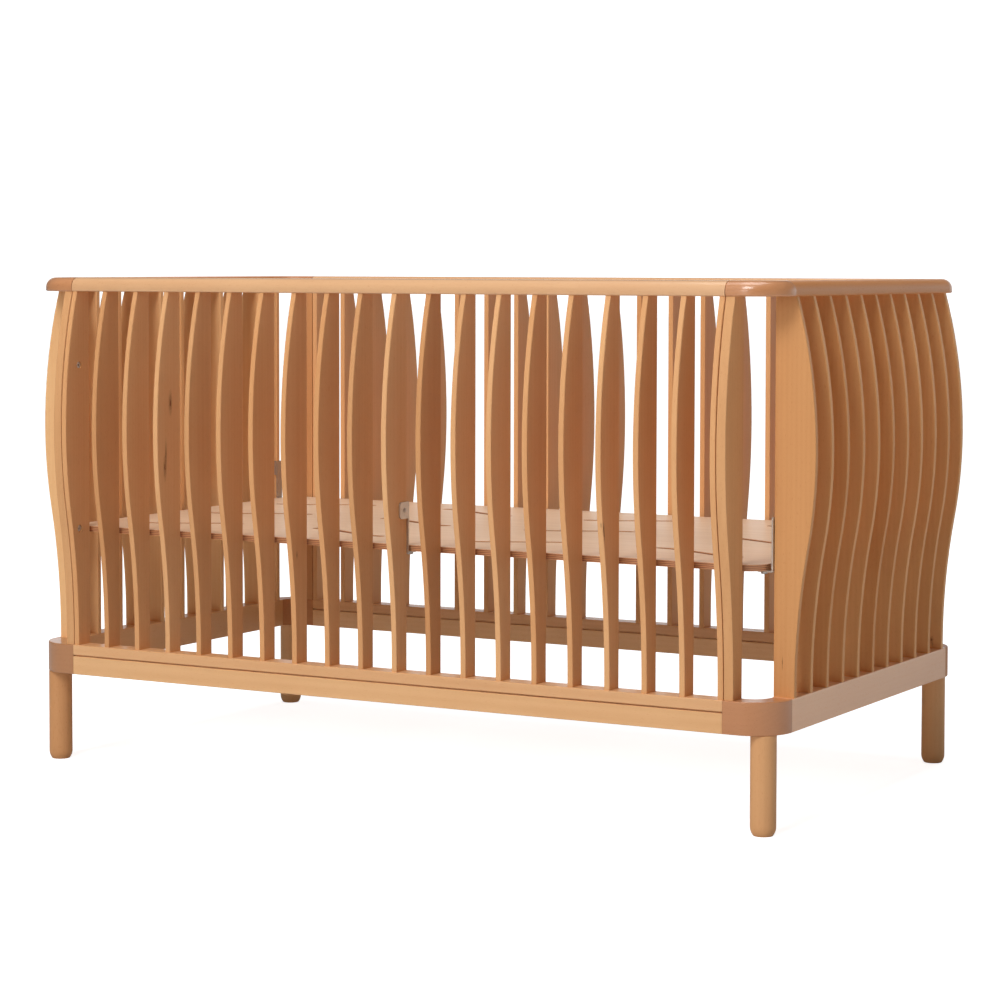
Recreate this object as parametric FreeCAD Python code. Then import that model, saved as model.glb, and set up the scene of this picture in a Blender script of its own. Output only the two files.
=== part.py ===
import FreeCAD, Part
import math
import os

# Baby crib with bulging upright fins, in millimetres.
# Origin: floor level, centre of the plan.  +X runs to the right end, +Y to the back, +Z up.

# ---------------------------------------------------------------- driving dimensions
BASE_LENGTH = 1402.0        # outer length of the low frame under the fins
BASE_WIDTH = 784.0          # outer width of the low frame
TOP_LENGTH = 1406.0         # outer length of the top rail ring
TOP_WIDTH = 782.0           # outer width of the top rail ring
CORNER_RADIUS = 64.0        # plan radius of both rings
MEMBER_WIDTH = 35.5         # plan width of every rail and beam; inner faces flush with the fins
PANEL_LENGTH = 1228.0       # length of a side panel, end to end
PANEL_GAP = 1.2             # shadow gap between a side panel and the parts of the ends
BASE_GAP = 0.4              # the same, in the low frame

LEG_HEIGHT = 154.0          # floor to the underside of the low frame
BEAM_HEIGHT = 33.5          # lower beam under a side panel
BOTTOM_RAIL_HEIGHT = 17.5   # rail that carries the side fins
REBATE_HEIGHT = 2.0         # shadow line between beam and bottom rail
REBATE_DEPTH = 6.0
FIN_HEIGHT = 608.0          # clear height between the rails
TOP_RAIL_HEIGHT = 24.0

SIDE_FIN_COUNT = 20
END_FIN_COUNT = 11
END_FIN_PITCH = 62.7
FIN_THICKNESS = 9.5
RETURN_FIN_THICKNESS = 15.5
SIDE_FIN_DEPTH = 32.0       # depth of a fin at its top and foot
END_FIN_DEPTH = 34.5
BULGE = 32.5                # how far the outer edge swells past its foot
BULGE_DROP = 237.0          # top of the fin down to the fullest point
TUCK_LENGTH = 359.0         # fullest point down to where the edge is straight again
CONVEX_SHARE = 0.4          # share of the tuck that is still convex
FIN_EDGE_ROUND = 1.3
TENON_LENGTH = 8.0
TENON_INSET = 4.0           # from the fin's two edges
TENON_CHEEK = 2.25          # from the fin's two faces
TENON_PLAY = 0.05           # clearance of a mortise on every side

RAIL_TOP_ROUND = 17.0       # big round along the top outer edge
RAIL_INNER_ROUND = 6.0      # along the top inner edge
RAIL_SMALL_ROUND = 3.0
BEAM_ROUND = 1.5

LEG_INSET = 33.0            # leg centre from the frame's outer faces
LEG_RADIUS = 20.0
LEG_FOOT_RADIUS = 15.0      # where the rounded foot meets the floor
LEG_FOOT_HEIGHT = 14.0      # height of the rounded foot
LEG_TOP_CHAMFER = 1.0

BOARD_LENGTH = 1312.0
BOARD_WIDTH = 698.0
BOARD_THICKNESS = 10.0
BOARD_CORNER = 35.0
BOARD_TOP = 407.0           # height of the sleeping surface in the upper setting
SLOT_WIDTH = 16.0
SLOT_REACH = 166.0          # one ventilation slot along X, between the centres of its round ends
SLOT_ANGLE = 27.0           # slope of its middle run
SLOT_BEND = 90.0            # radius of the bends at both of its ends
SLOT_ROW_PITCH = 218.0
SLOT_COLUMNS = 4

STEEL = 2.5                 # bracket plate thickness
BRACKET_GAP = 0.3           # running clearance to the fins
BRACKET_WIDTH = 16.0
BRACKET_RISE = 71.0         # top of the bracket above the board
TAB_HEIGHT = 27.0
TAB_REACH = 25.0
FOOT_REACH = 28.0
PLATE_CORNER = 6.0          # rounded free corners of tab and foot
SCREW_INSET = 11.5          # bracket screw axis from the fin's inner edge
SCREW_HEAD_RADIUS = 4.0
SCREW_DOME = 2.2            # height of the domed head
CROSS_LENGTH = 4.4          # arms of the cross recess, tip to tip
CROSS_WIDTH = 0.9
SCREW_SHANK_RADIUS = 2.0
BASE_BOLT_RADIUS = 3.0
BASE_BOLT_HEAD_RADIUS = 5.5
BASE_BOLT_HEAD_HEIGHT = 3.5
BASE_BOLT_HEAD_ROUND = 2.2
BASE_INSERT_RADIUS = 5.0
BASE_INSERT_LENGTH = 8.5
BASE_BOLT_INSET = 18.0      # bolt axis from the fin's inner edge

PANEL_BOLT_DROPS = (126.0, 407.0)   # bolt heights, down from the top rail
PANEL_BOLT_INSET = 8.0      # bolt axis from the frame's outer face
PANEL_BOLT_RADIUS = 3.0
PANEL_BOLT_HEAD_RADIUS = 5.3
PANEL_BOLT_HEAD_HEIGHT = 4.0
HEX_KEY = 4.0               # key size of every socket head
SOCKET_DEPTH = 2.0
PANEL_BOLT_SINK = 1.5       # head below the face of the fin
PANEL_BOLT_LENGTH = 20.0
PANEL_INSERT_RADIUS = 5.0
PANEL_INSERT_LENGTH = 12.0
PANEL_FLANGE_RADIUS = 7.5   # the insert's flange fills the shadow gap
COUNTERBORE_RADIUS = 6.1

LEG_BOLT_RADIUS = 4.0
LEG_BOLT_LENGTH = 60.0
LEG_INSERT_RADIUS = 6.0
LEG_INSERT_LENGTH = 22.0

BEAM_SCREW_COUNT = 5
BEAM_SCREW_PITCH = 260.0
BEAM_SCREW_RADIUS = 2.25
BEAM_SCREW_HEAD_RADIUS = 4.5
BEAM_SCREW_HEAD_HEIGHT = 3.0
BEAM_SCREW_LENGTH = 44.0

DOWEL_RADIUS = 4.0
DOWEL_LENGTH = 36.0
DOWEL_SPREAD = 8.0          # half the distance between two dowels side by side
TOP_DOWEL_DEPTH = 9.0       # dowel axis below the top of the top rail, clear of the mortises
END_DOWEL_RISE = 22.0       # middle of the two dowels one above the other in an end beam
END_DOWEL_SPREAD = 11.0     # half the distance between those two
HOLE_PLAY = 0.05            # radial clearance of every drilled hole

# ---------------------------------------------------------------- derived places
BEAM_BOTTOM = LEG_HEIGHT
RAIL_BOTTOM = BEAM_BOTTOM + BEAM_HEIGHT
FIN_BOTTOM = RAIL_BOTTOM + BOTTOM_RAIL_HEIGHT
FIN_TOP = FIN_BOTTOM + FIN_HEIGHT
CRIB_TOP = FIN_TOP + TOP_RAIL_HEIGHT

HALF_PANEL = PANEL_LENGTH / 2
SIDE_FACE = BASE_WIDTH / 2          # outer face of the low frame, front and back
END_FACE = BASE_LENGTH / 2          # outer face of the low frame, left and right
SIDE_INNER = SIDE_FACE - MEMBER_WIDTH   # inner edges of the side fins
END_INNER = END_FACE - MEMBER_WIDTH     # inner edges of the end fins
SIDE_FIN_PITCH = (PANEL_LENGTH - FIN_THICKNESS) / (SIDE_FIN_COUNT - 1)
SIDE_FIN_X = [(i - (SIDE_FIN_COUNT - 1) / 2) * SIDE_FIN_PITCH for i in range(SIDE_FIN_COUNT)]
END_FIN_Y = [(j - (END_FIN_COUNT - 1) / 2) * END_FIN_PITCH for j in range(END_FIN_COUNT)]
END_START = HALF_PANEL + PANEL_GAP      # return fins and top corner blocks begin here
RETURN_FIN_X = END_START + RETURN_FIN_THICKNESS / 2
BRACKET_FIN = SIDE_FIN_COUNT // 2   # side fin, counted from the left, that carries a bracket
BOARD_BOTTOM = BOARD_TOP - BOARD_THICKNESS
BRACKET_TOP = BOARD_TOP + BRACKET_RISE
TAB_MIDDLE = BRACKET_TOP - TAB_HEIGHT / 2

V = FreeCAD.Vector
X_AXIS = V(1, 0, 0)
Y_AXIS = V(0, 1, 0)
Z_AXIS = V(0, 0, 1)
ORIGIN = V(0, 0, 0)


# ---------------------------------------------------------------- small helpers
def line(a, b):
    return Part.LineSegment(a, b).toShape()


def arc(a, middle, b):
    return Part.Arc(a, middle, b).toShape()


def face(edges):
    return Part.Face(Part.Wire(edges))


def box(x0, x1, y0, y1, z0, z1):
    return Part.makeBox(x1 - x0, y1 - y0, z1 - z0, V(x0, y0, z0))


def rod(radius, length, start, direction):
    return Part.makeCylinder(radius, length, start, direction)


def mirror_x(shape):
    return shape.mirror(ORIGIN, X_AXIS)


def mirror_y(shape):
    return shape.mirror(ORIGIN, Y_AXIS)


def four_corners(shape):
    """The front right shape and its three mirror images, keyed by corner name."""
    back_right = mirror_y(shape)
    return {"front_right": shape, "front_left": mirror_x(shape),
            "back_right": back_right, "back_left": mirror_x(back_right)}


def moved(shape, offset):
    copy = shape.copy()
    copy.translate(offset)
    return copy


def save(node, shape):
    """Write one node; a list is a group of separate solids."""
    if isinstance(shape, list):
        shape = Part.makeCompound(shape)
    shape.exportStep(os.path.join("parts", node + ".step"))


def rounded_section(width, z0, z1, rounds, place):
    """Rectangle with four corner radii: outer bottom, outer top, inner top, inner bottom.
    place(d, z) puts a point that lies d in from the outer face."""
    outer_bottom, outer_top, inner_top, inner_bottom = rounds
    corners = [(0, z0, outer_bottom, 1, 1), (0, z1, outer_top, 1, -1),
               (width, z1, inner_top, -1, -1), (width, z0, inner_bottom, -1, 1)]
    edges = []
    previous = None
    first = None
    for index, (d, z, r, into_d, into_z) in enumerate(corners):
        on_side = place(d, z + into_z * r)
        on_flat = place(d + into_d * r, z)
        enter, leave = (on_side, on_flat) if index % 2 else (on_flat, on_side)
        short = r * (1 - math.sqrt(0.5))
        middle = place(d + into_d * short, z + into_z * short)
        if previous is not None:
            edges.append(line(previous, enter))
        else:
            first = enter
        edges.append(arc(enter, middle, leave))
        previous = leave
    edges.append(line(previous, first))
    return face(edges)


# ---------------------------------------------------------------- fins
def fin_outline(depth, place):
    """Straight inner edge, swelling outer edge.  place(s, z): s is measured out from the inner edge."""
    fullest_z = FIN_TOP - BULGE_DROP
    fullest_s = depth + BULGE
    top_radius = (BULGE_DROP ** 2 + BULGE ** 2) / (2 * BULGE)
    tuck_angle = 2 * math.atan(BULGE / TUCK_LENGTH)
    radius_sum = TUCK_LENGTH / math.sin(tuck_angle)
    convex_radius = CONVEX_SHARE * radius_sum
    concave_radius = radius_sum - convex_radius
    tuck_end_z = fullest_z - TUCK_LENGTH

    def convex(radius, angle):
        return place(fullest_s - radius * (1 - math.cos(angle)), fullest_z + radius * math.sin(angle))

    def concave(angle):
        return place(depth + concave_radius * (1 - math.cos(angle)),
                     tuck_end_z + concave_radius * math.sin(angle))

    top_angle = math.asin(BULGE_DROP / top_radius)
    inner_foot = place(0, FIN_BOTTOM)
    inner_top = place(0, FIN_TOP)
    outer_top = place(depth, FIN_TOP)
    fullest = place(fullest_s, fullest_z)
    inflection = convex(convex_radius, -tuck_angle)
    tuck_end = place(depth, tuck_end_z)
    outer_foot = place(depth, FIN_BOTTOM)
    return face([line(inner_foot, inner_top), line(inner_top, outer_top),
                 arc(outer_top, convex(top_radius, top_angle / 2), fullest),
                 arc(fullest, convex(convex_radius, -tuck_angle / 2), inflection),
                 arc(inflection, concave(tuck_angle / 2), tuck_end),
                 line(tuck_end, outer_foot), line(outer_foot, inner_foot)])


def tenon(thickness, depth, z0, z1, play=0.0):
    """Stub tenon of a fin that stands in the local frame of local_fin."""
    half = thickness / 2 - TENON_CHEEK + play
    return box(TENON_INSET - play, depth - TENON_INSET + play, -half, half, z0, z1)


def local_fin(thickness, depth):
    """One fin: s along +X from its inner edge, thickness centred on Y."""
    blade = fin_outline(depth, lambda s, z: V(s, -thickness / 2, z)).extrude(V(0, thickness, 0))
    long_edges = []
    for edge in blade.Edges:
        ends = [vertex.Point for vertex in edge.Vertexes]
        runs_up = abs(ends[0].z - ends[1].z) > 1.0
        if runs_up:
            long_edges.append(edge)
    blade = blade.makeFillet(FIN_EDGE_ROUND, long_edges)
    foot = tenon(thickness, depth, FIN_BOTTOM - TENON_LENGTH, FIN_BOTTOM)
    head = tenon(thickness, depth, FIN_TOP, FIN_TOP + TENON_LENGTH)
    return blade.fuse([foot, head]).removeSplitter().Solids[0]


def placed(shape, angle, offset):
    """Turn about Z, then move: puts a local fin, mortise or bracket on one side of the crib."""
    copy = shape.copy()
    copy.rotate(ORIGIN, Z_AXIS, angle)
    copy.translate(offset)
    return copy


def on_front(shape, x):
    return placed(shape, -90, V(x, -SIDE_INNER, 0))


def on_right(shape, y):
    return placed(shape, 0, V(END_INNER, y, 0))


def mortises(thickness, depth, put, stations):
    """Foot and head mortises of one row of fins, 1 mm deeper than the tenons."""
    cuts = []
    spans = ((FIN_BOTTOM - TENON_LENGTH - 1, FIN_BOTTOM + 1), (FIN_TOP - 1, FIN_TOP + TENON_LENGTH + 1))
    for station in stations:
        for z0, z1 in spans:
            cuts.append(put(tenon(thickness, depth, z0, z1, TENON_PLAY), station))
    return cuts


# ---------------------------------------------------------------- top rail ring
TOP_ROUNDS = (RAIL_SMALL_ROUND, RAIL_TOP_ROUND, RAIL_INNER_ROUND, RAIL_SMALL_ROUND)
BASE_ROUNDS = (BEAM_ROUND, BEAM_ROUND, BEAM_ROUND, BEAM_ROUND)


def straight_front(half_width, z0, z1, rounds):
    section = rounded_section(MEMBER_WIDTH, z0, z1, rounds,
                              lambda d, z: V(-HALF_PANEL, -half_width + d, z))
    return section.extrude(V(PANEL_LENGTH, 0, 0))


def straight_right(half_length, half_width, z0, z1, rounds):
    reach = half_width - CORNER_RADIUS
    section = rounded_section(MEMBER_WIDTH, z0, z1, rounds,
                              lambda d, z: V(half_length - d, -reach, z))
    return section.extrude(V(0, 2 * reach, 0))


def corner_block(start_x, half_length, half_width, z0, z1, rounds):
    """Front right block: a short straight run from beside the panel, then a quarter turn."""
    turn_x = half_length - CORNER_RADIUS
    turn_y = -(half_width - CORNER_RADIUS)
    at_start = rounded_section(MEMBER_WIDTH, z0, z1, rounds,
                               lambda d, z: V(start_x, -half_width + d, z))
    at_turn = rounded_section(MEMBER_WIDTH, z0, z1, rounds,
                              lambda d, z: V(turn_x, -half_width + d, z))
    run = at_start.extrude(V(turn_x - start_x, 0, 0))
    turn = at_turn.revolve(V(turn_x, turn_y, 0), Z_AXIS, 90)
    return run.fuse(turn).removeSplitter()


# ---------------------------------------------------------------- dowels
def panel_dowels():
    """Front right joints between a side panel and its corner blocks."""
    start_x = HALF_PANEL - DOWEL_LENGTH / 2
    middle_y = -SIDE_FACE + MEMBER_WIDTH / 2
    starts = []
    for side in (-1, 1):
        y = middle_y + side * DOWEL_SPREAD
        starts.append(V(start_x, y, CRIB_TOP - TOP_DOWEL_DEPTH))
        starts.append(V(start_x, y, BEAM_BOTTOM + BEAM_HEIGHT / 2))
    return [(start, X_AXIS) for start in starts]


def end_dowels():
    """Front right joints between the corner blocks and the end members."""
    half = DOWEL_LENGTH / 2
    top_x = (TOP_LENGTH - MEMBER_WIDTH) / 2
    base_x = END_FACE - MEMBER_WIDTH / 2
    top_y = -(TOP_WIDTH / 2 - CORNER_RADIUS) - half
    base_y = -(SIDE_FACE - CORNER_RADIUS) - half
    starts = []
    for side in (-1, 1):
        starts.append(V(top_x + side * DOWEL_SPREAD, top_y, CRIB_TOP - TOP_DOWEL_DEPTH))
        starts.append(V(base_x, base_y, BEAM_BOTTOM + END_DOWEL_RISE + side * END_DOWEL_SPREAD))
    return [(start, Y_AXIS) for start in starts]


def dowels(play=0.0):
    """The dowels of the front right quarter, or with play the holes for them."""
    return [rod(DOWEL_RADIUS + play, DOWEL_LENGTH + 2 * play, start - axis * play, axis)
            for start, axis in panel_dowels() + end_dowels()]


def all_quarters(shapes):
    found = []
    for shape in shapes:
        found += list(four_corners(shape).values())
    return found


# ---------------------------------------------------------------- legs and their bolts
def leg_place():
    return V(END_FACE - LEG_INSET, -(SIDE_FACE - LEG_INSET), 0)


def leg():
    """Front right leg: a turned post that curves in to its foot, with a small chamfer at the top."""
    step = LEG_RADIUS - LEG_FOOT_RADIUS
    curve_radius = (LEG_FOOT_HEIGHT ** 2 + step ** 2) / (2 * step)
    half_turn = math.asin(LEG_FOOT_HEIGHT / curve_radius) / 2
    floor_edge = V(LEG_FOOT_RADIUS, 0, 0)
    curve_middle = V(LEG_RADIUS - curve_radius * (1 - math.cos(half_turn)), 0,
                     LEG_FOOT_HEIGHT - curve_radius * math.sin(half_turn))
    curve_top = V(LEG_RADIUS, 0, LEG_FOOT_HEIGHT)
    corners = [curve_top, V(LEG_RADIUS, 0, LEG_HEIGHT - LEG_TOP_CHAMFER),
               V(LEG_RADIUS - LEG_TOP_CHAMFER, 0, LEG_HEIGHT), V(0, 0, LEG_HEIGHT), ORIGIN, floor_edge]
    edges = [line(a, b) for a, b in zip(corners, corners[1:])]
    edges.append(arc(floor_edge, curve_middle, curve_top))
    body = face(edges).revolve(ORIGIN, Z_AXIS, 360)
    hole_depth = LEG_BOLT_LENGTH / 2 + 1
    hole = rod(LEG_BOLT_RADIUS + HOLE_PLAY, hole_depth, V(0, 0, LEG_HEIGHT - hole_depth), Z_AXIS)
    return moved(body.cut(hole), leg_place())


def leg_bolt():
    start = leg_place() + V(0, 0, LEG_HEIGHT - LEG_BOLT_LENGTH / 2)
    return rod(LEG_BOLT_RADIUS, LEG_BOLT_LENGTH, start, Z_AXIS)


def leg_insert():
    start = leg_place() + V(0, 0, LEG_HEIGHT)
    sleeve = rod(LEG_INSERT_RADIUS, LEG_INSERT_LENGTH, start, Z_AXIS)
    return sleeve.cut(rod(LEG_BOLT_RADIUS + HOLE_PLAY, LEG_INSERT_LENGTH, start, Z_AXIS))


def leg_insert_hole():
    start = leg_place() + V(0, 0, LEG_HEIGHT - 1)
    wide = rod(LEG_INSERT_RADIUS + HOLE_PLAY, LEG_INSERT_LENGTH + 1, start, Z_AXIS)
    deep = rod(LEG_BOLT_RADIUS + HOLE_PLAY, LEG_BOLT_LENGTH / 2 + 2, start, Z_AXIS)
    return wide.fuse(deep)


# ---------------------------------------------------------------- panel bolts (front right joint)
def hexagon(across_flats, x, y, z, length):
    """Hexagonal prism along +X."""
    radius = across_flats / math.sqrt(3)
    turns = [math.radians(60 * k) for k in range(7)]
    points = [V(x, y + radius * math.cos(turn), z + radius * math.sin(turn)) for turn in turns]
    return Part.Face(Part.makePolygon(points)).extrude(V(length, 0, 0))


def panel_bolt_places():
    face_x = HALF_PANEL - FIN_THICKNESS
    return [V(face_x, -SIDE_FACE + PANEL_BOLT_INSET, FIN_TOP - drop) for drop in PANEL_BOLT_DROPS]


def panel_bolt(place):
    head_start = place + V(PANEL_BOLT_SINK, 0, 0)
    head = rod(PANEL_BOLT_HEAD_RADIUS, PANEL_BOLT_HEAD_HEIGHT, head_start, X_AXIS)
    shank = rod(PANEL_BOLT_RADIUS, PANEL_BOLT_LENGTH - PANEL_BOLT_HEAD_HEIGHT,
                head_start + V(PANEL_BOLT_HEAD_HEIGHT, 0, 0), X_AXIS)
    socket = hexagon(HEX_KEY, head_start.x, place.y, place.z, SOCKET_DEPTH)
    return head.fuse(shank).removeSplitter().cut(socket)


def panel_insert(place):
    """Threaded sleeve in the return fin, with a flange in the shadow gap."""
    start = V(HALF_PANEL, place.y, place.z)
    length = PANEL_GAP + PANEL_INSERT_LENGTH
    flange = rod(PANEL_FLANGE_RADIUS, PANEL_GAP, start, X_AXIS)
    sleeve = flange.fuse(rod(PANEL_INSERT_RADIUS, length, start, X_AXIS)).removeSplitter()
    return sleeve.cut(rod(PANEL_BOLT_RADIUS + HOLE_PLAY, length, start, X_AXIS))


def panel_fin_holes():
    counterbore_depth = PANEL_BOLT_SINK + PANEL_BOLT_HEAD_HEIGHT
    cuts = []
    for place in panel_bolt_places():
        cuts.append(rod(COUNTERBORE_RADIUS, counterbore_depth + 1, place - X_AXIS, X_AXIS))
        cuts.append(rod(PANEL_BOLT_RADIUS + HOLE_PLAY, FIN_THICKNESS + 2, place - X_AXIS, X_AXIS))
    return cuts


def return_fin_holes():
    cuts = []
    for place in panel_bolt_places():
        start = V(END_START - 1, place.y, place.z)
        cuts.append(rod(PANEL_INSERT_RADIUS + HOLE_PLAY, PANEL_INSERT_LENGTH + 1, start, X_AXIS))
    return cuts


# ---------------------------------------------------------------- beam screws (front beam)
def beam_screw_places():
    middle = (BEAM_SCREW_COUNT - 1) / 2
    y = -SIDE_FACE + MEMBER_WIDTH / 2
    return [V((k - middle) * BEAM_SCREW_PITCH, y, BEAM_BOTTOM) for k in range(BEAM_SCREW_COUNT)]


def beam_screw(place, play=0.0):
    """Countersunk screw from below, through the beam into the bottom rail."""
    head = Part.makeCone(BEAM_SCREW_HEAD_RADIUS + play, BEAM_SCREW_RADIUS + play, BEAM_SCREW_HEAD_HEIGHT,
                         place, Z_AXIS)
    shank = rod(BEAM_SCREW_RADIUS + play, BEAM_SCREW_LENGTH + play, place, Z_AXIS)
    return head.fuse(shank).removeSplitter()


def front_beam(holes):
    """Lower beam of the front: a bar with softened edges, rebated along both sides of its top."""
    bar = straight_front(SIDE_FACE, BEAM_BOTTOM, RAIL_BOTTOM - REBATE_HEIGHT, BASE_ROUNDS)
    land = box(-HALF_PANEL, HALF_PANEL, -SIDE_FACE + REBATE_DEPTH, -SIDE_INNER - REBATE_DEPTH,
               RAIL_BOTTOM - REBATE_HEIGHT, RAIL_BOTTOM)
    bar = bar.fuse(land).removeSplitter()
    return bar.cut(holes + [beam_screw(place, HOLE_PLAY) for place in beam_screw_places()])


# ---------------------------------------------------------------- mattress board
def slot_outline(rising):
    """One S-shaped slot around the origin: bend, straight run, bend, with round ends."""
    sign = 1 if rising else -1
    angle = math.radians(SLOT_ANGLE)
    bend_x = SLOT_BEND * math.sin(angle)
    bend_y = SLOT_BEND * (1 - math.cos(angle))
    run_x = SLOT_REACH - 2 * bend_x
    half_rise = bend_y + run_x * math.tan(angle) / 2
    half_width = SLOT_WIDTH / 2
    start = (-SLOT_REACH / 2, -half_rise)

    def point(x, y):
        return V(x, sign * y, BOARD_BOTTOM - 1)

    def on_start_bend(side, share):
        turn = angle * share
        radius = SLOT_BEND - side * half_width
        return start[0] + radius * math.sin(turn), start[1] + SLOT_BEND - radius * math.cos(turn)

    def pair(side, share):
        """A point on the start bend, and the same point turned half a turn onto the end bend."""
        x, y = on_start_bend(side, share)
        return point(x, y), point(-x, -y)

    left, right = 1, -1
    edges = []
    for side, other in ((left, right), (right, left)):
        begin, _ = pair(side, 0)
        middle, _ = pair(side, 0.5)
        end, _ = pair(side, 1)
        _, far_begin = pair(other, 1)
        _, far_middle = pair(other, 0.5)
        _, far_end = pair(other, 0)
        edges += [arc(begin, middle, end), line(end, far_begin), arc(far_begin, far_middle, far_end)]
    for turned in (1, -1):
        top = point(turned * start[0], turned * (start[1] + half_width))
        tip = point(turned * (start[0] - half_width), turned * start[1])
        bottom = point(turned * start[0], turned * (start[1] - half_width))
        edges.append(arc(top, tip, bottom))
    return Part.Face(Part.Wire(Part.__sortEdges__(edges)))


def slots():
    column_pitch = BOARD_LENGTH / SLOT_COLUMNS
    depth = V(0, 0, BOARD_THICKNESS + 2)
    cuts = []
    for column in range(SLOT_COLUMNS):
        x = (column - (SLOT_COLUMNS - 1) / 2) * column_pitch
        rising = slot_outline(column % 2 == 0)
        for row in (-1, 0, 1):
            cuts.append(moved(rising.extrude(depth), V(x, row * SLOT_ROW_PITCH, 0)))
    return cuts


def mattress_base(bolt_places):
    board = box(-BOARD_LENGTH / 2, BOARD_LENGTH / 2, -BOARD_WIDTH / 2, BOARD_WIDTH / 2,
                BOARD_BOTTOM, BOARD_TOP)
    uprights = [edge for edge in board.Edges
                if abs(edge.Vertexes[0].Z - edge.Vertexes[1].Z) > BOARD_THICKNESS / 2]
    board = board.makeFillet(BOARD_CORNER, uprights)
    holes = [rod(BASE_INSERT_RADIUS + HOLE_PLAY, BASE_INSERT_LENGTH + 1, place - Z_AXIS, Z_AXIS)
             for place in bolt_places]
    return board.cut(slots() + holes)


# ---------------------------------------------------------------- brackets under the board
# Local frame, as for a fin: +X points out of the crib from the fin's inner edge, and the fin's face
# that carries the tab is at Y = 0, with the tab on its +Y side.
def local_bracket():
    near = -BRACKET_GAP
    far = near - STEEL
    face_side = BRACKET_GAP + STEEL
    strip = box(far, near, face_side - BRACKET_WIDTH, face_side, BOARD_BOTTOM - STEEL, BRACKET_TOP)
    tab = box(far, TAB_REACH, BRACKET_GAP, face_side, BRACKET_TOP - TAB_HEIGHT, BRACKET_TOP)
    foot = box(-FOOT_REACH, near, face_side - BRACKET_WIDTH, face_side, BOARD_BOTTOM - STEEL, BOARD_BOTTOM)
    tab_corners = [edge for edge in tab.Edges if edge.BoundBox.XMin > TAB_REACH - 0.1
                   and edge.BoundBox.YLength > 1]
    tab = tab.makeFillet(PLATE_CORNER, tab_corners)
    foot_corners = [edge for edge in foot.Edges if edge.BoundBox.XMax < -FOOT_REACH + 0.1
                    and edge.BoundBox.ZLength > 1]
    foot = foot.makeFillet(PLATE_CORNER, foot_corners)
    plate = strip.fuse([tab, foot]).removeSplitter()
    bends = [edge for edge in plate.Edges if edge.BoundBox.XMin > near - 0.01
             and edge.BoundBox.YLength > BRACKET_WIDTH - 1 and edge.BoundBox.ZMax < BOARD_BOTTOM]
    plate = plate.makeFillet(STEEL * 0.9, bends)
    screw_start = V(SCREW_INSET, -1, TAB_MIDDLE)
    screw_hole = rod(SCREW_SHANK_RADIUS + HOLE_PLAY, STEEL + 2, screw_start, Y_AXIS)
    foot_place = V(-BASE_BOLT_INSET, face_side - BRACKET_WIDTH / 2, BOARD_BOTTOM - STEEL - 1)
    bolt_hole = rod(BASE_BOLT_RADIUS + HOLE_PLAY, STEEL + 2, foot_place, Z_AXIS)
    return plate.cut([screw_hole, bolt_hole])


def local_bracket_screw():
    """Pan head with a cross recess; its shank stops flush with the back of the tab."""
    start = V(SCREW_INSET, BRACKET_GAP, TAB_MIDDLE)
    crown_y = BRACKET_GAP + STEEL
    dome_radius = (SCREW_HEAD_RADIUS ** 2 + SCREW_DOME ** 2) / (2 * SCREW_DOME)
    dome = Part.makeSphere(dome_radius, V(start.x, crown_y + SCREW_DOME - dome_radius, start.z))
    cap = rod(SCREW_HEAD_RADIUS, SCREW_DOME, V(start.x, crown_y, start.z), Y_AXIS).common(dome)
    shank = rod(SCREW_SHANK_RADIUS, STEEL, start, Y_AXIS)
    cross = []
    for half_x, half_z in ((CROSS_LENGTH / 2, CROSS_WIDTH / 2), (CROSS_WIDTH / 2, CROSS_LENGTH / 2)):
        cross.append(box(start.x - half_x, start.x + half_x, crown_y + SCREW_DOME / 2,
                         crown_y + SCREW_DOME + 1, start.z - half_z, start.z + half_z))
    return cap.fuse(shank).removeSplitter().cut(cross)


def local_base_bolt():
    """Button head under the foot, shank up into the board's insert."""
    axis_y = BRACKET_GAP + STEEL - BRACKET_WIDTH / 2
    head_bottom = BOARD_BOTTOM - STEEL - BASE_BOLT_HEAD_HEIGHT
    head = rod(BASE_BOLT_HEAD_RADIUS, BASE_BOLT_HEAD_HEIGHT,
               V(-BASE_BOLT_INSET, axis_y, head_bottom), Z_AXIS)
    low_rim = [edge for edge in head.Edges if edge.BoundBox.ZMax < head_bottom + 0.1
               and edge.BoundBox.XLength > BASE_BOLT_HEAD_RADIUS]
    head = head.makeFillet(BASE_BOLT_HEAD_ROUND, low_rim)
    shank_length = STEEL + BASE_INSERT_LENGTH - 0.5
    shank = rod(BASE_BOLT_RADIUS, shank_length,
                V(-BASE_BOLT_INSET, axis_y, BOARD_BOTTOM - STEEL), Z_AXIS)
    socket = hexagon(HEX_KEY, 0, 0, 0, SOCKET_DEPTH)
    socket.rotate(ORIGIN, Y_AXIS, -90)
    socket.translate(V(-BASE_BOLT_INSET, axis_y, head_bottom))
    return head.fuse(shank).removeSplitter().cut(socket)


def local_base_insert():
    start = V(-BASE_BOLT_INSET, BRACKET_GAP + STEEL - BRACKET_WIDTH / 2, BOARD_BOTTOM)
    sleeve = rod(BASE_INSERT_RADIUS, BASE_INSERT_LENGTH, start, Z_AXIS)
    return sleeve.cut(rod(BASE_BOLT_RADIUS + HOLE_PLAY, BASE_INSERT_LENGTH, start, Z_AXIS))


def at_corner_fins(shape):
    """On the outermost end fins, with the tab towards the middle of the end."""
    half = FIN_THICKNESS / 2
    front_right = on_right(shape, END_FIN_Y[0] + half)
    return list(four_corners(front_right).values())


def at_side_fins(shape):
    """On one fin near the middle of each side, with the tab on its right-hand face."""
    front = on_front(shape, SIDE_FIN_X[BRACKET_FIN] + FIN_THICKNESS / 2)
    return [front, mirror_y(front)]


def base_bolt_places(bolts):
    places = []
    for bolt in bolts:
        bounds = bolt.BoundBox
        places.append(V(bounds.Center.x, bounds.Center.y, BOARD_BOTTOM))
    return places


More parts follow.
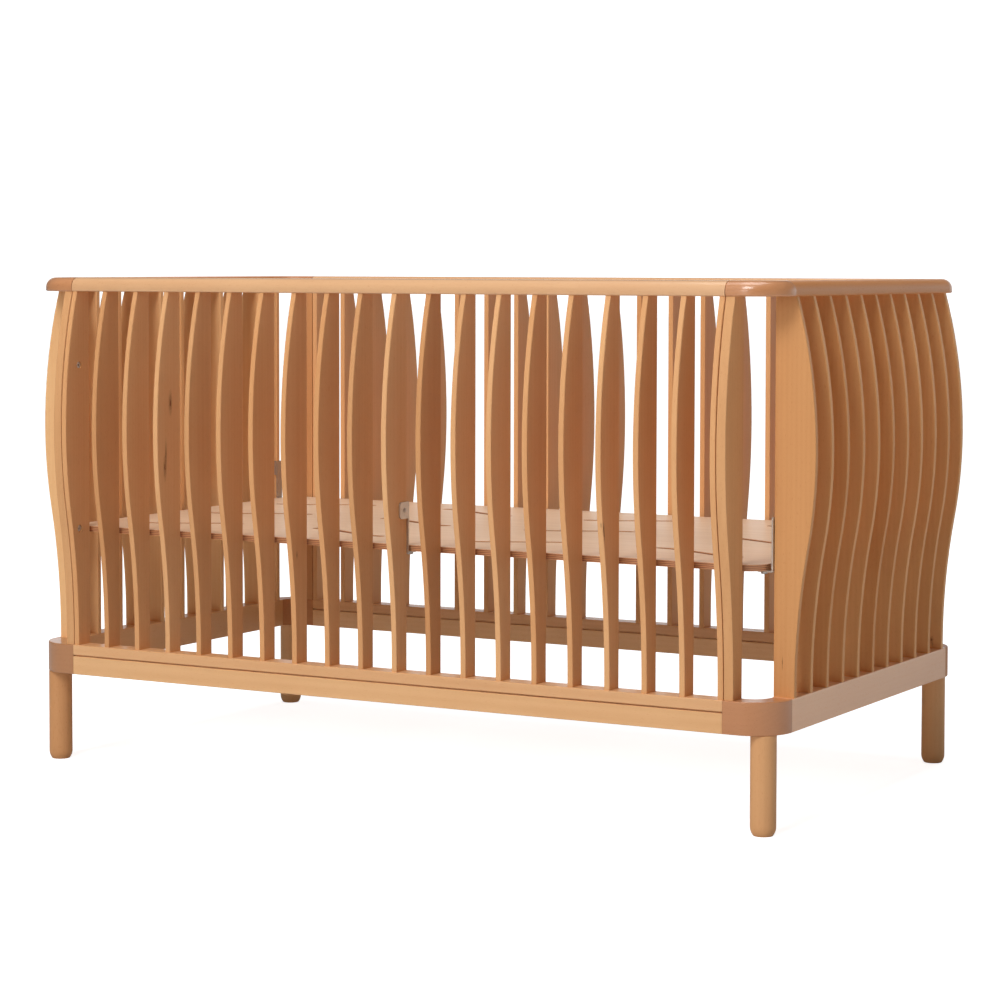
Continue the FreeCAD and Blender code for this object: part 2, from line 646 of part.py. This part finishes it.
# ---------------------------------------------------------------- the crib
def build_rings(side_mortises, end_mortises, return_mortises):
    """Top rail ring and low frame, with their mortises and drilled holes."""
    holes = all_quarters(dowels(HOLE_PLAY))
    top_half_l, top_half_w = TOP_LENGTH / 2, TOP_WIDTH / 2

    top_front = straight_front(top_half_w, FIN_TOP, CRIB_TOP, TOP_ROUNDS).cut(side_mortises + holes)
    save("front_top_rail", top_front)
    save("back_top_rail", mirror_y(top_front))
    top_right = straight_right(top_half_l, top_half_w, FIN_TOP, CRIB_TOP, TOP_ROUNDS)
    top_right = top_right.cut(end_mortises + holes)
    save("right_top_rail", top_right)
    save("left_top_rail", mirror_x(top_right))
    top_corner = corner_block(END_START, top_half_l, top_half_w, FIN_TOP, CRIB_TOP, TOP_ROUNDS)
    for name, shape in four_corners(top_corner.cut(return_mortises + holes)).items():
        save("top_corner_" + name, shape)

    pilot_holes = [beam_screw(place, HOLE_PLAY) for place in beam_screw_places()]
    rail = straight_front(SIDE_FACE, RAIL_BOTTOM, FIN_BOTTOM, BASE_ROUNDS)
    rail = rail.cut(side_mortises + holes + pilot_holes)
    save("front_bottom_rail", rail)
    save("back_bottom_rail", mirror_y(rail))
    beam = front_beam(holes)
    save("front_beam", beam)
    save("back_beam", mirror_y(beam))
    end_beam = straight_right(END_FACE, SIDE_FACE, BEAM_BOTTOM, FIN_BOTTOM, BASE_ROUNDS)
    end_beam = end_beam.cut(end_mortises + holes)
    save("right_end_beam", end_beam)
    save("left_end_beam", mirror_x(end_beam))
    base_start = HALF_PANEL + BASE_GAP
    base_corner = corner_block(base_start, END_FACE, SIDE_FACE, BEAM_BOTTOM, FIN_BOTTOM, BASE_ROUNDS)
    base_corner = base_corner.cut(return_mortises + holes + [leg_insert_hole()])
    for name, shape in four_corners(base_corner).items():
        save("base_corner_" + name, shape)
    save("joint_dowels", all_quarters(dowels()))


def build_fins():
    side_fin = local_fin(FIN_THICKNESS, SIDE_FIN_DEPTH)
    end_fin = local_fin(FIN_THICKNESS, END_FIN_DEPTH)
    thick_fin = local_fin(RETURN_FIN_THICKNESS, SIDE_FIN_DEPTH)
    front_row = [on_front(side_fin, x) for x in SIDE_FIN_X]
    front_row[-1] = front_row[-1].cut(panel_fin_holes())
    front_row[0] = mirror_x(front_row[-1])
    for index, fin in enumerate(front_row):
        save("front_fin_%02d" % (index + 1), fin)
    save("back_fins", [mirror_y(fin) for fin in front_row])
    right_row = [on_right(end_fin, y) for y in END_FIN_Y]
    save("right_end_fins", right_row)
    save("left_end_fins", [mirror_x(fin) for fin in right_row])
    return_fin = on_front(thick_fin, RETURN_FIN_X).cut(return_fin_holes())
    save("return_fins", list(four_corners(return_fin).values()))


def build_legs():
    for name, shape in four_corners(leg()).items():
        save("leg_" + name, shape)
    save("leg_bolts", all_quarters([leg_bolt()]))
    save("leg_inserts", all_quarters([leg_insert()]))


def build_panel_fixings():
    places = panel_bolt_places()
    save("panel_bolts", all_quarters([panel_bolt(place) for place in places]))
    save("panel_inserts", all_quarters([panel_insert(place) for place in places]))
    screws = [beam_screw(place) for place in beam_screw_places()]
    save("beam_screws", screws + [mirror_y(screw) for screw in screws])


def build_mattress_base():
    bracket = local_bracket()
    save("corner_brackets", at_corner_fins(bracket))
    save("side_brackets", at_side_fins(bracket))
    screw = local_bracket_screw()
    save("bracket_screws", at_corner_fins(screw) + at_side_fins(screw))
    bolt = local_base_bolt()
    bolts = at_corner_fins(bolt) + at_side_fins(bolt)
    save("base_bolts", bolts)
    insert = local_base_insert()
    save("base_inserts", at_corner_fins(insert) + at_side_fins(insert))
    save("mattress_base", mattress_base(base_bolt_places(bolts)))


def main():
    os.makedirs("parts", exist_ok=True)
    side_mortises = mortises(FIN_THICKNESS, SIDE_FIN_DEPTH, on_front, SIDE_FIN_X)
    end_mortises = mortises(FIN_THICKNESS, END_FIN_DEPTH, on_right, END_FIN_Y)
    return_mortises = mortises(RETURN_FIN_THICKNESS, SIDE_FIN_DEPTH, on_front, [RETURN_FIN_X])
    build_rings(side_mortises, end_mortises, return_mortises)
    build_fins()
    build_legs()
    build_panel_fixings()
    build_mattress_base()


main()
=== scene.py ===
import math

import bpy
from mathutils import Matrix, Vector


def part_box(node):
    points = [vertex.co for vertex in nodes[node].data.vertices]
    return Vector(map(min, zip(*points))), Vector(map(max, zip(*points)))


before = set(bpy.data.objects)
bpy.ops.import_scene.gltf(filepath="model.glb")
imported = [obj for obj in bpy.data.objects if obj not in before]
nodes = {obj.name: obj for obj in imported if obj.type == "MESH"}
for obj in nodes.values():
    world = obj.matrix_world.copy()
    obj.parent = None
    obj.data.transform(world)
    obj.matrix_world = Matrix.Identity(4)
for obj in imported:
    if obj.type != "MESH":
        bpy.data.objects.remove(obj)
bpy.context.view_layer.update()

# ---------------------------------------------------------------- places read from the frame
END_FIN_GAPS = 10       # an end has 11 fins
fin_low, fin_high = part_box("front_fin_02")
fin_thickness = fin_high[0] - fin_low[0]
fin_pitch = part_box("front_fin_03")[0][0] - fin_low[0]
board_low, board_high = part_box("mattress_base")
end_fins_low, end_fins_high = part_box("right_end_fins")
end_fin_pitch = (end_fins_high[1] - end_fins_low[1] - fin_thickness) / END_FIN_GAPS
last_end_fin = end_fins_high[1] - fin_thickness     # front face of the rearmost end fin


# ---------------------------------------------------------------- shader building
class Shader:
    """A material with small helpers that take sockets, numbers or tuples."""

    def __init__(self, name):
        self.material = bpy.data.materials.new(name)
        self.material.use_nodes = True
        self.tree = self.material.node_tree
        self.surface = self.tree.nodes["Principled BSDF"]
        self.position = self.make("ShaderNodeTexCoord").outputs["Object"]
        self.normal = self.make("ShaderNodeNewGeometry").outputs["Normal"]

    def make(self, kind, **settings):
        node = self.tree.nodes.new(kind)
        for key, value in settings.items():
            setattr(node, key, value)
        return node

    def feed(self, socket, value):
        if isinstance(value, bpy.types.NodeSocket):
            self.tree.links.new(value, socket)
        elif value is not None:
            socket.default_value = value

    def math(self, operation, a, b=None, c=None, clamp=False):
        node = self.make("ShaderNodeMath", operation=operation, use_clamp=clamp)
        for socket, value in zip(node.inputs, (a, b, c)):
            self.feed(socket, value)
        return node.outputs[0]

    def vector(self, operation, a, b=None, scale=None):
        node = self.make("ShaderNodeVectorMath", operation=operation)
        self.feed(node.inputs[0], a)
        if b is not None:
            self.feed(node.inputs[1], b)
        if scale is not None:
            self.feed(node.inputs["Scale"], scale)
        return node.outputs["Value" if operation == "LENGTH" else "Vector"]

    def split(self, vector):
        node = self.make("ShaderNodeSeparateXYZ")
        self.feed(node.inputs[0], vector)
        return node.outputs

    def noise(self, vector, scale, detail=2.0, rough=0.5):
        node = self.make("ShaderNodeTexNoise")
        self.feed(node.inputs["Vector"], vector)
        node.inputs["Scale"].default_value = scale
        node.inputs["Detail"].default_value = detail
        node.inputs["Roughness"].default_value = rough
        return node.outputs["Fac"]

    def ramp(self, value, low, high, out_low=0.0, out_high=1.0):
        node = self.make("ShaderNodeMapRange", interpolation_type="SMOOTHSTEP")
        for socket, item in zip(node.inputs, (value, low, high, out_low, out_high)):
            self.feed(socket, item)
        return node.outputs[0]

    def mix(self, factor, a, b, blend="MIX"):
        node = self.make("ShaderNodeMix", data_type="RGBA", blend_type=blend)
        self.feed(node.inputs["Factor"], factor)
        # a mix node has sockets of one name for every data type; only the colour ones are meant
        for name, value in (("A", a), ("B", b)):
            socket = [s for s in node.inputs if s.name == name and s.type == "RGBA"][0]
            self.feed(socket, value)
        return [s for s in node.outputs if s.type == "RGBA"][0]

    def bump(self, height, distance, strength):
        node = self.make("ShaderNodeBump")
        node.inputs["Strength"].default_value = strength
        node.inputs["Distance"].default_value = distance
        self.feed(node.inputs["Height"], height)
        self.feed(self.surface.inputs["Normal"], node.outputs["Normal"])


def rgb(red, green, blue):
    """Linear colour from 0-255 screen values."""
    def linear(c):
        c = c / 255
        return c / 12.92 if c <= 0.04045 else ((c + 0.055) / 1.055) ** 2.4
    return (linear(red), linear(green), linear(blue), 1.0)


AXES = {"X": 0, "Y": 1, "Z": 2}
WHOLE = 9.0             # metres: a cell this long takes in one whole side of the crib
WANDER = 2.4            # metres: width of the range over which each piece's figure is moved
GRAIN_SQUASH = 0.045    # how much slower the figure changes along the grain than across it
FLECK_SQUASH = 0.16     # the same for the short flecks
KNOT_COLOUR = (0.15, 0.05, 0.018, 1.0)
REDDER = (1.0, 0.92, 0.84, 1.0)


def wood(name, tones, along, cell=(WHOLE, WHOLE, WHOLE), shift=(0.0, 0.0, 0.0), seed=0.0,
         variety=0.5, figure=1.0, gloss=0.42, coat=0.2, knots=()):
    """Lacquered beech.  tones: its pale and deep colour.  along: the grain's axis.  cell, shift:
    the spacing of pieces in one node, so that each has its own figure.  variety: how much their
    tones differ.  figure: contrast of the grain.  gloss, coat: how shiny.  knots: (centre, radius,
    half its length along the grain, strength)."""
    pale, deep = tones
    s = Shader(name)
    piece = s.vector("FLOOR", s.vector("DIVIDE", s.vector("ADD", s.position, shift), cell))
    chance = s.make("ShaderNodeTexWhiteNoise", noise_dimensions="4D")
    s.feed(chance.inputs["Vector"], piece)
    chance.inputs["W"].default_value = seed
    centred = s.vector("SUBTRACT", chance.outputs["Color"], (0.5, 0.5, 0.5))
    away = s.vector("SCALE", centred, scale=WANDER)
    moved = s.vector("ADD", s.position, away)
    stretch = [1.0, 1.0, 1.0]
    stretch[AXES[along]] = GRAIN_SQUASH
    grain = s.vector("MULTIPLY", moved, tuple(stretch))
    stretch[AXES[along]] = FLECK_SQUASH
    short = s.vector("MULTIPLY", moved, tuple(stretch))

    # wandering growth rings, as the piece cuts through them at a random distance from the centre
    wave = s.make("ShaderNodeTexWave", wave_type="RINGS", rings_direction=along, wave_profile="SIN")
    s.feed(wave.inputs["Vector"], grain)
    wave.inputs["Scale"].default_value = 42.0
    wave.inputs["Distortion"].default_value = 3.4
    wave.inputs["Detail"].default_value = 3.0
    wave.inputs["Detail Scale"].default_value = 0.6
    rings = wave.outputs["Fac"]
    broad = s.noise(grain, 16.0, 3.0, 0.55)
    streak = s.noise(grain, 130.0, 3.0, 0.6)
    fleck = s.ramp(s.noise(short, 900.0, 1.0), 0.62, 0.74)
    blotch = s.noise(moved, 5.0, 2.0)

    # the share of each pattern in the tone, which runs from pale at 0 to deep at 1
    tone = s.math("MULTIPLY_ADD", rings, 0.12, broad)
    tone = s.math("MULTIPLY_ADD", streak, 0.34, s.math("SUBTRACT", tone, 0.22))
    tone = s.math("MULTIPLY_ADD", s.math("SUBTRACT", tone, 0.5), figure, 0.5)
    tone = s.math("MULTIPLY_ADD", s.math("SUBTRACT", chance.outputs["Value"], 0.5), variety, tone)
    tone = s.math("MULTIPLY_ADD", s.math("SUBTRACT", blotch, 0.5), 0.35, tone, clamp=True)
    colour = s.mix(tone, pale, deep)
    redness = s.math("MULTIPLY", s.split(chance.outputs["Color"])["Y"], variety)
    colour = s.mix(redness, colour, REDDER, "MULTIPLY")
    colour = s.mix(s.math("MULTIPLY", fleck, 0.2), colour, deep, "MULTIPLY")

    for centre, radius, half_length, strength in knots:
        reach = [1.0 / radius] * 3
        reach[AXES[along]] = 1.0 / half_length
        offset = s.vector("MULTIPLY", s.vector("SUBTRACT", s.position, centre), tuple(reach))
        distance = s.vector("LENGTH", offset)
        ragged = s.math("MULTIPLY_ADD", s.noise(s.position, 320.0, 2.0), 0.7, distance)
        halo = s.ramp(ragged, 0.6, 2.0, strength * 0.55, 0.0)
        core = s.ramp(ragged, 0.55, 0.95, strength, 0.0)
        colour = s.mix(s.math("MAXIMUM", halo, core), colour, KNOT_COLOUR)

    s.feed(s.surface.inputs["Base Color"], colour)
    rough = s.math("MULTIPLY_ADD", streak, 0.14, 0.28)
    s.feed(s.surface.inputs["Roughness"], s.math("MULTIPLY_ADD", fleck, 0.1, rough))
    s.surface.inputs["Specular IOR Level"].default_value = gloss
    s.surface.inputs["Coat Weight"].default_value = coat
    s.surface.inputs["Coat Roughness"].default_value = 0.16
    pores = s.math("SUBTRACT", streak, s.math("MULTIPLY", fleck, 0.8))
    relief = s.math("MULTIPLY_ADD", rings, 0.1, pores)
    s.bump(relief, 0.00008, 0.5)
    return s.material


PLIES = 7.0             # sheets glued together in the board


def plywood(name):
    """Pale veneer on the faces, dark and light plies wherever the sheet is cut through."""
    s = Shader(name)
    z = s.split(s.position)["Z"]
    grain = s.vector("MULTIPLY", s.position, (0.06, 1.0, 1.0))
    rings = s.noise(grain, 42.0, 4.0, 0.6)
    streak = s.noise(grain, 260.0, 2.0)
    cloud = s.noise(s.position, 3.0, 2.0)
    tone = s.math("MULTIPLY_ADD", rings, 0.8, s.math("MULTIPLY_ADD", streak, 0.25, -0.05))
    tone = s.math("MULTIPLY_ADD", s.math("SUBTRACT", cloud, 0.5), 0.5, tone, clamp=True)
    veneer = s.mix(tone, rgb(246, 215, 184), rgb(220, 181, 146))

    ripple = s.noise(s.vector("MULTIPLY", s.position, (1.0, 1.0, 0.0)), 26.0, 2.0)
    rise = s.math("SUBTRACT", z, board_low[2])
    height = s.math("MULTIPLY_ADD", s.math("SUBTRACT", ripple, 0.5), 0.0006, rise)
    ply = s.math("MULTIPLY", height, PLIES / (board_high[2] - board_low[2]))
    odd = s.math("MODULO", s.math("FLOOR", ply), 2.0)
    within = s.math("FRACT", ply)
    glue = s.math("MAXIMUM", s.ramp(within, 0.0, 0.16, 1.0, 0.0), s.ramp(within, 0.84, 1.0))
    fibre = s.noise(s.vector("MULTIPLY", s.position, (1.0, 1.0, 9.0)), 180.0, 3.0, 0.65)
    edge = s.mix(s.math("MULTIPLY_ADD", odd, 0.75, s.math("MULTIPLY_ADD", fibre, 0.4, -0.15)),
                 rgb(220, 160, 112), rgb(150, 88, 58))
    edge = s.mix(s.math("MULTIPLY", glue, 0.6), edge, rgb(70, 34, 22))
    facing = s.math("ABSOLUTE", s.split(s.normal)["Z"])
    colour = s.mix(s.ramp(facing, 0.55, 0.75), edge, veneer)
    s.feed(s.surface.inputs["Base Color"], colour)
    s.feed(s.surface.inputs["Roughness"], s.math("MULTIPLY_ADD", streak, 0.2, 0.34))
    s.surface.inputs["Coat Weight"].default_value = 0.1
    s.surface.inputs["Coat Roughness"].default_value = 0.3
    s.bump(s.math("ADD", rings, streak), 0.0001, 0.5)
    return s.material


def steel(name, colour, roughness, brushed):
    """Zinc-plated steel with fine scratches, cloudy plating and dull patches.  brushed: the
    scratches run along Z."""
    s = Shader(name)
    lie = s.vector("MULTIPLY", s.position, (1.0, 1.0, 0.06 if brushed else 1.0))
    scratch = s.noise(lie, 1500.0, 3.0, 0.7)
    cloud = s.noise(s.position, 160.0, 3.0, 0.6)
    spot = s.ramp(s.noise(s.position, 420.0, 2.0), 0.58, 0.72)
    dark = tuple(c * 0.62 for c in colour[:3]) + (1.0,)
    dullness = s.math("MULTIPLY_ADD", cloud, 0.5, s.math("MULTIPLY", spot, 0.35), clamp=True)
    s.feed(s.surface.inputs["Base Color"], s.mix(dullness, colour, dark))
    s.surface.inputs["Metallic"].default_value = 1.0
    scratched = s.math("MULTIPLY_ADD", scratch, 0.12, roughness - 0.12)
    s.feed(s.surface.inputs["Roughness"], s.math("MULTIPLY_ADD", cloud, 0.16, scratched))
    s.bump(scratch, 0.00004, 0.6)
    return s.material


# ---------------------------------------------------------------- materials
# pale and deep tone of each kind of piece
FIN = (rgb(243, 192, 140), rgb(217, 155, 102))
WARM_FIN = (rgb(232, 178, 126), rgb(202, 140, 90))
# the right end's fins: a darker, more saturated copy of the fin tone, painted shade for their
# shaded faces
END_FIN_PAINTED_SHADE = (rgb(238, 184, 128), rgb(210, 147, 92))
# the far (left) end's fins: a lighter copy of the fin tone, painted light for the light that
# reaches them through the front fins
FAR_FIN_PAINTED_LIGHT = (rgb(251, 205, 151), rgb(233, 171, 114))
BEAM = (rgb(244, 194, 140), rgb(220, 158, 101))
RAIL = (rgb(240, 195, 148), rgb(217, 160, 112))
CORNER = (rgb(214, 152, 104), rgb(190, 126, 82))
DARK_CORNER = (rgb(196, 140, 95), rgb(172, 115, 75))
# the end top rails: a darker, more saturated copy of the rail tone, painted shade, as they stand in
# shade
SIDE_RAIL_PAINTED_SHADE = (rgb(214, 147, 88), rgb(190, 121, 66))
# the right end beam: lighter and pinker than the left end beam, painted light from the bright floor
# and backdrop on its right
END_BEAM_PAINTED_LIGHT = (rgb(255, 204, 157), rgb(240, 176, 128))

# one cell for each fin; the cells also meet at the crib's middle, so front and back fins differ
side_cell = (fin_pitch, WHOLE, WHOLE)
end_cell = (WHOLE, end_fin_pitch, WHOLE)
end_shift = (0.0, end_fin_pitch / 2, 0.0)
# a rail crosses the middle of the crib, so half a cell of shift keeps it in one cell
ALONG_X = (WHOLE / 2, 0.0, 0.0)
ALONG_Y = (0.0, WHOLE / 2, 0.0)


def fin_face(number):
    """X of the right-hand face of one front fin, counted from the left."""
    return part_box("front_fin_%02d" % number)[1][0]


# the marks that show on the fins, as wood() takes them
side_knots = [((fin_face(4), -0.384, 0.627), 0.0042, 0.0165, 0.9),
              ((fin_face(4), -0.397, 0.541), 0.0024, 0.020, 0.75),
              ((fin_face(4), -0.400, 0.519), 0.0038, 0.018, 0.85),
              ((fin_face(8), -0.387, 0.384), 0.0022, 0.0058, 0.6),
              ((fin_face(17), -0.4095, 0.4570), 0.0018, 0.0095, 0.95),
              ((fin_face(17), -0.4070, 0.4470), 0.0014, 0.0105, 0.85),
              ((fin_face(17) - 0.0025, -0.4115, 0.4630), 0.0019, 0.0050, 0.85)]
end_knots = [((0.6826, last_end_fin, 0.220), 0.0030, 0.0050, 0.9),
             ((0.6840, last_end_fin, 0.212), 0.0022, 0.0040, 0.6),
             ((0.6801, end_fins_low[1], 0.2574), 0.0007, 0.0095, 0.9)]


def dress(node, material):
    mesh = nodes[node].data
    mesh.materials.clear()
    mesh.materials.append(material)


def dress_wood(node, tones, along, **look):
    """Give one long piece or block a wood of its own."""
    dress(node, wood("beech_" + node, tones, along, variety=0.3, **look))


fin_look = {"variety": 0.4, "figure": 0.6, "gloss": 0.08, "coat": 0.0}
side_fin_wood = wood("beech_side_fins", FIN, "Z", side_cell, seed=1.0, knots=side_knots, **fin_look)
warm_fin_wood = wood("beech_warm_fins", WARM_FIN, "Z", side_cell, seed=1.0, **fin_look)
warm_fins = ["front_fin_%02d" % number for number in (2, 5, 10, 12)]
for node in nodes:
    if node in warm_fins:
        dress(node, warm_fin_wood)
    elif node.startswith("front_fin_") or node == "back_fins":
        dress(node, side_fin_wood)
# the right end's fins take a darker, more saturated tone than the front fins: painted shade
dress("right_end_fins", wood("beech_end_fins_painted_shade", END_FIN_PAINTED_SHADE, "Z", end_cell, end_shift, seed=2.0,
                             knots=end_knots, **fin_look))
# the far end's fins take a lighter tone than the front fins: painted light
dress("left_end_fins", wood("beech_far_fins_painted_light", FAR_FIN_PAINTED_LIGHT, "Z", end_cell, end_shift, seed=4.0,
                            **fin_look))
dress("return_fins", wood("beech_return_fins", WARM_FIN, "Z", seed=3.0, **fin_look))

for side, seed in (("front", 10.0), ("back", 13.0)):
    dress_wood(side + "_top_rail", RAIL, "X", shift=ALONG_X, seed=seed, coat=1.0)
    dress_wood(side + "_bottom_rail", FIN, "X", shift=ALONG_X, seed=seed + 1.0)
    dress_wood(side + "_beam", BEAM, "X", shift=ALONG_X, seed=seed + 2.0)
# the end top rails take a darker tone than the front and back top rails: painted shade
for node, seed in (("left_top_rail", 20.0), ("right_top_rail", 21.0)):
    dress_wood(node, SIDE_RAIL_PAINTED_SHADE, "Y", shift=ALONG_Y, seed=seed, figure=0.6, gloss=0.12, coat=0.08)
dress_wood("left_end_beam", BEAM, "Y", shift=ALONG_Y, seed=30.0, figure=0.4, gloss=0.3, coat=0.1)
# the right end beam takes a lighter, pinker tone than the left one: painted light
dress_wood("right_end_beam", END_BEAM_PAINTED_LIGHT, "Y", shift=ALONG_Y, seed=31.0, figure=0.4, coat=0.7)
for number, corner in enumerate(["front_left", "front_right", "back_left", "back_right"]):
    at_front = corner.startswith("front")
    darkest = corner == "front_left"
    dress_wood("top_corner_" + corner, CORNER, "X", seed=40.0 + number, figure=0.4,
               gloss=0.42 if at_front else 0.2, coat=0.8 if at_front else 0.3)
    dress_wood("base_corner_" + corner, DARK_CORNER if darkest else CORNER, "X", seed=50.0 + number,
               figure=0.4, gloss=0.42 if at_front else 0.1, coat=0.5 if at_front else 0.0)
    dress_wood("leg_" + corner, WARM_FIN if darkest else FIN, "Z", seed=60.0 + number,
               figure=0.4, gloss=0.15, coat=0.05)
# the dowels borrow the right end beam's lighter tone, painted light included
dress("joint_dowels", wood("raw_dowels", END_BEAM_PAINTED_LIGHT, "Z", seed=70.0))
dress("mattress_base", plywood("plywood_base"))

bracket_steel = steel("bracket_steel", rgb(222, 216, 206), 0.36, True)
screw_steel = steel("screw_steel", rgb(214, 212, 206), 0.3, False)
for node in ("corner_brackets", "side_brackets"):
    dress(node, bracket_steel)
for node in ("bracket_screws", "base_bolts", "base_inserts", "panel_bolts", "panel_inserts",
             "leg_bolts", "leg_inserts", "beam_screws"):
    dress(node, screw_steel)

# ---------------------------------------------------------------- floor, light and camera
FLOOR_SIZE = 80.0
CRIB_MIDDLE = (0.0, 0.0, 0.5)
CAMERA_PLACE = (2.3688, -4.1729, 0.8588)
CAMERA_TURN = (90.0 - 2.71, -0.106, 29.33)      # degrees: tilted down, level to 0.1, turned left

scene = bpy.context.scene
scene.view_settings.view_transform = "Standard"
bpy.ops.mesh.primitive_plane_add(size=FLOOR_SIZE)
floor = bpy.context.object
floor.name = "floor"
paint = Shader("floor_paint")
paper = paint.noise(paint.position, 2.0, 3.0)
paint.feed(paint.surface.inputs["Base Color"],
           paint.mix(paper, (0.66, 0.66, 0.66, 1.0), (0.70, 0.70, 0.70, 1.0)))
paint.surface.inputs["Roughness"].default_value = 0.9
paint.surface.inputs["Specular IOR Level"].default_value = 0.1
paint.surface.inputs["Emission Color"].default_value = (1.0, 1.0, 1.0, 1.0)
# to the camera the floor fades to pure white away from the crib; for the crib it glows behind and
# on the right, as a floor lit by the backdrop does
away = paint.ramp(paint.vector("LENGTH", paint.position), 1.0, 3.5, 0.84, 1.0)
seen = paint.math("MULTIPLY", paint.make("ShaderNodeLightPath").outputs["Is Camera Ray"], away)
place = paint.split(paint.position)
behind = paint.ramp(place["Y"], 1.0, 3.0, 0.0, 0.15)
beside = paint.ramp(place["X"], 0.8, 2.0, 0.0, 0.42)
around = paint.math("MAXIMUM", behind, beside)
paint.feed(paint.surface.inputs["Emission Strength"], paint.math("MAXIMUM", seen, around))
floor.data.materials.append(paint.material)


def studio_world():
    """A bright backdrop behind, dim walls and ceiling, little light from elsewhere; white to the
    camera."""
    world = bpy.data.worlds.new("studio")
    scene.world = world
    world.use_nodes = True
    tree = world.node_tree
    background = tree.nodes["Background"]
    background.inputs["Color"].default_value = (1.0, 1.0, 1.0, 1.0)

    def make(kind, *inputs, **settings):
        node = tree.nodes.new(kind)
        for key, value in settings.items():
            setattr(node, key, value)
        for socket, value in zip(node.inputs, inputs):
            if isinstance(value, bpy.types.NodeSocket):
                tree.links.new(value, socket)
            else:
                socket.default_value = value
        return node.outputs

    def wall(axis, start, end, strength):
        """Light from the directions whose part along one axis passes start, full from end on."""
        return make("ShaderNodeMapRange", direction[axis], start, end, 0.0, strength,
                    interpolation_type="SMOOTHSTEP")[0]

    direction = make("ShaderNodeSeparateXYZ", make("ShaderNodeTexCoord")["Generated"])
    low = wall("Z", 0.45, 0.10, 1.0)     # 1 near the horizon and below, 0 higher up
    backdrop = make("ShaderNodeMath", wall("Y", 0.45, 0.8, 1.25), low, operation="MULTIPLY")[0]
    right = wall("X", 0.5, 0.9, 0.14)
    left = wall("X", -0.5, -0.9, 0.10)
    ceiling = wall("Z", 0.4, 0.9, 0.14)
    strength = 0.03
    for part in (backdrop, right, left, ceiling):
        strength = make("ShaderNodeMath", strength, part, operation="ADD")[0]
    seen = make("ShaderNodeLightPath")["Is Camera Ray"]
    strength = make("ShaderNodeMath", strength, seen, operation="MAXIMUM")[0]
    tree.links.new(strength, background.inputs["Strength"])


def aim(obj, target):
    obj.rotation_euler = (Vector(target) - obj.location).to_track_quat("-Z", "Y").to_euler()


def softbox(name, place, target, size, power):
    lamp = bpy.data.lights.new(name, "AREA")
    lamp.shape = "RECTANGLE"
    lamp.size, lamp.size_y = size
    lamp.energy = power
    obj = bpy.data.objects.new(name, lamp)
    scene.collection.objects.link(obj)
    obj.location = place
    aim(obj, target)


studio_world()
softbox("key", (0.0, -4.8, 4.85), CRIB_MIDDLE, (2.4, 2.4), 195.0)
softbox("low_front", (-0.6, -6.3, 2.0), CRIB_MIDDLE, (2.4, 2.4), 65.0)
softbox("top", (0.0, -0.3, 5.5), (0.0, 0.0, 0.6), (3.0, 3.0), 115.0)

lens = bpy.data.cameras.new("camera")
lens.sensor_width = 36.0
lens.lens = 100.02
lens.shift_x = -0.0087
lens.shift_y = -0.1031
lens.clip_end = 200.0
camera = bpy.data.objects.new("camera", lens)
scene.collection.objects.link(camera)
camera.location = CAMERA_PLACE
camera.rotation_euler = [math.radians(angle) for angle in CAMERA_TURN]
scene.camera = camera
